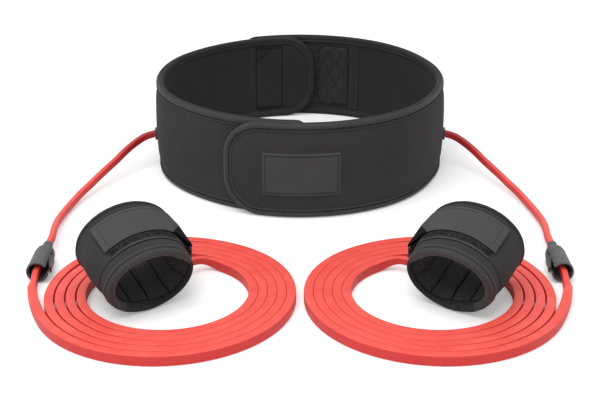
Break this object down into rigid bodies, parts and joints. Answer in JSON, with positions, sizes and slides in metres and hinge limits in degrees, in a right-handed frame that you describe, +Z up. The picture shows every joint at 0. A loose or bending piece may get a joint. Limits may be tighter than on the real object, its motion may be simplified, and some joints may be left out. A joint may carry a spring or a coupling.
{
  "type": "boxing resistance band",
  "caption": "Padded waist belt with hook-and-loop flaps and an elastic band on each side that runs through a sliding lock to a padded wrist cuff.",
  "frame": {"origin": "on the floor, at the middle of the box round the belt and the cuffs, the bands and locks left out", "axes": "+Z up; -Y towards the belt's front and the cuffs; +X towards the side whose panel lies outside at both closings"},
  "size_m": [0.4864, 0.5941, 0.1],
  "materials": {
    "neoprene": "padded neoprene under a close charcoal knit",
    "binding_tape": "woven polyester tape, stitched",
    "hook_tape": "black nylon hook tape",
    "loop_fabric": "brushed loop fabric, quilted",
    "woven_label": "close woven patch, bare",
    "band_rubber": "satin coral latex",
    "grey_plastic": "moulded, fine texture",
    "black_plastic": "moulded, fine texture",
    "soft_rubber": "soft moulded sleeve",
    "dark_steel": "black coated wire",
    "jersey": "padded jersey",
    "soft_lining": "brushed lining, channel stitched",
    "webbing": "black nylon webbing",
    "strap_fabric": "close knit strap, stitched hem"
  },
  "bodies": {
    "belt": {"right_panel": "neoprene", "right_panel_binding": "binding_tape", "left_panel": "neoprene", "left_panel_binding": "binding_tape", "front_loop_patch": "loop_fabric", "back_loop_panel": "loop_fabric", "back_edge_strip": "binding_tape", "left_band_socket": "black_plastic", "left_band_run": "band_rubber", "left_band_coil": "band_rubber", "left_band_end_eye": "black_plastic", "right_band_socket": "black_plastic", "right_band_run": "band_rubber", "right_band_coil": "band_rubber", "right_band_end_eye": "black_plastic"},
    "front_flap": {"front_flap": "neoprene", "front_flap_binding": "binding_tape", "front_hook_patch": "hook_tape", "label_patch": "woven_label"},
    "back_flap": {"back_flap": "neoprene", "back_flap_binding": "binding_tape", "back_hook_patch": "hook_tape"},
    "left_lock": {"left_lock_body": "grey_plastic", "left_lock_collar": "soft_rubber", "left_lock_pin": "dark_steel"},
    "left_lever": {"left_lock_lever": "black_plastic"},
    "left_ring": {"left_cuff_d_ring": "dark_steel"},
    "left_cuff": {"left_cuff_shell": "jersey", "left_cuff_lining": "soft_lining", "left_cuff_front_binding": "binding_tape", "left_cuff_back_binding": "binding_tape", "left_cuff_strap_base": "webbing", "left_cuff_strap_ring": "dark_steel", "left_cuff_web_loop": "webbing"},
    "left_strap": {"left_cuff_strap": "strap_fabric", "left_cuff_strap_hook": "hook_tape"},
    "right_lock": {"right_lock_body": "grey_plastic", "right_lock_collar": "soft_rubber", "right_lock_pin": "dark_steel"},
    "right_lever": {"right_lock_lever": "black_plastic"},
    "right_ring": {"right_cuff_d_ring": "dark_steel"},
    "right_cuff": {"right_cuff_shell": "jersey", "right_cuff_lining": "soft_lining", "right_cuff_front_binding": "binding_tape", "right_cuff_back_binding": "binding_tape", "right_cuff_strap_base": "webbing", "right_cuff_strap_ring": "dark_steel", "right_cuff_web_loop": "webbing"},
    "right_strap": {"right_cuff_strap": "strap_fabric", "right_cuff_strap_hook": "hook_tape"}
  },
  "joints": [
    {"name": "front_flap_peel", "type": "hinge", "parent": "belt", "child": "front_flap", "pos_m": [0.05135, -0.04086, 0.05], "axis": [0, 0, 1], "range_deg": [0, 70]},
    {"name": "back_flap_peel", "type": "hinge", "parent": "belt", "child": "back_flap", "pos_m": [-0.07065, 0.23313, 0.05], "axis": [0, 0, -1], "range_deg": [0, 90]},
    {"name": "left_lock_slide", "type": "slide", "parent": "belt", "child": "left_lock", "axis": [0, 1, 0], "range_m": [0, 0.016]},
    {"name": "left_lock_lever_turn", "type": "hinge", "parent": "left_lock", "child": "left_lever", "pos_m": [-0.2254, -0.16024, 0.0129], "axis": [0, 0, 1], "range_deg": [0, 18]},
    {"name": "left_ring_tilt", "type": "hinge", "parent": "belt", "child": "left_ring", "pos_m": [-0.11229, -0.17673, 0.01113], "axis": [-0.4943, 0.8162, 0.299], "range_deg": [0, 30]},
    {"name": "left_cuff_lift", "type": "hinge", "parent": "left_ring", "child": "left_cuff", "pos_m": [-0.12127, -0.18217, 0.01113], "axis": [-0.4943, 0.8162, 0.299], "range_deg": [0, 20]},
    {"name": "left_strap_peel", "type": "hinge", "parent": "left_cuff", "child": "left_strap", "pos_m": [-0.10198, -0.19621, 0.04991], "axis": [-0.4943, 0.8162, 0.299], "range_deg": [0, 60]},
    {"name": "right_lock_slide", "type": "slide", "parent": "belt", "child": "right_lock", "axis": [0, 1, 0], "range_m": [0, 0.016]},
    {"name": "right_lock_lever_turn", "type": "hinge", "parent": "right_lock", "child": "right_lever", "pos_m": [0.2254, -0.16024, 0.0129], "axis": [0, 0, -1], "range_deg": [0, 18]},
    {"name": "right_ring_tilt", "type": "hinge", "parent": "belt", "child": "right_ring", "pos_m": [0.11229, -0.17673, 0.01113], "axis": [-0.4943, -0.8162, -0.299], "range_deg": [0, 30]},
    {"name": "right_cuff_lift", "type": "hinge", "parent": "right_ring", "child": "right_cuff", "pos_m": [0.12127, -0.18217, 0.01113], "axis": [-0.4943, -0.8162, -0.299], "range_deg": [0, 20]},
    {"name": "right_strap_peel", "type": "hinge", "parent": "right_cuff", "child": "right_strap", "pos_m": [0.10198, -0.19621, 0.04991], "axis": [-0.4943, -0.8162, -0.299], "range_deg": [0, 60]}
  ]
}
